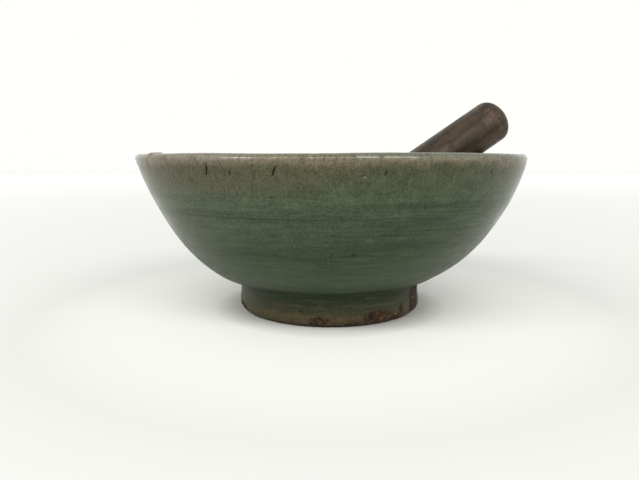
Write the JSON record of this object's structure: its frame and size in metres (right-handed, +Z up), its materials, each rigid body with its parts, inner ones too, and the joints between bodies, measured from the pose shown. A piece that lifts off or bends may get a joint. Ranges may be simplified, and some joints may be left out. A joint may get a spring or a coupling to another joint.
{
  "type": "mortar and pestle",
  "caption": "Footed celadon-glazed stoneware grinding bowl with a flared wall and flat lip, and a plain round-ended hardwood pestle leaning on its rim.",
  "frame": {"origin": "centre of the foot ring's resting plane, on the bowl's axis", "axes": "+Z up along the bowl's axis, +X to the right and +Y away from the viewer; the pestle leans towards +X, turned 20 degrees towards +Y"},
  "size_m": [0.2047, 0.2, 0.1125],
  "materials": {
    "stoneware": "unglazed, matt, scored inside",
    "glaze": "glossy green celadon, brown where it is thin at the rim",
    "hardwood": "dark, worn smooth and slightly glossy"
  },
  "bodies": {
    "mortar": {"mortar_body": "stoneware", "celadon_glaze": "glaze"},
    "pestle": {"pestle": "hardwood"}
  },
  "joints": [
    {"name": "pestle_lift", "type": "slide", "parent": "mortar", "child": "pestle", "axis": [0.8012, 0.2916, 0.5225], "range_m": [0, 0.165]}
  ]
}
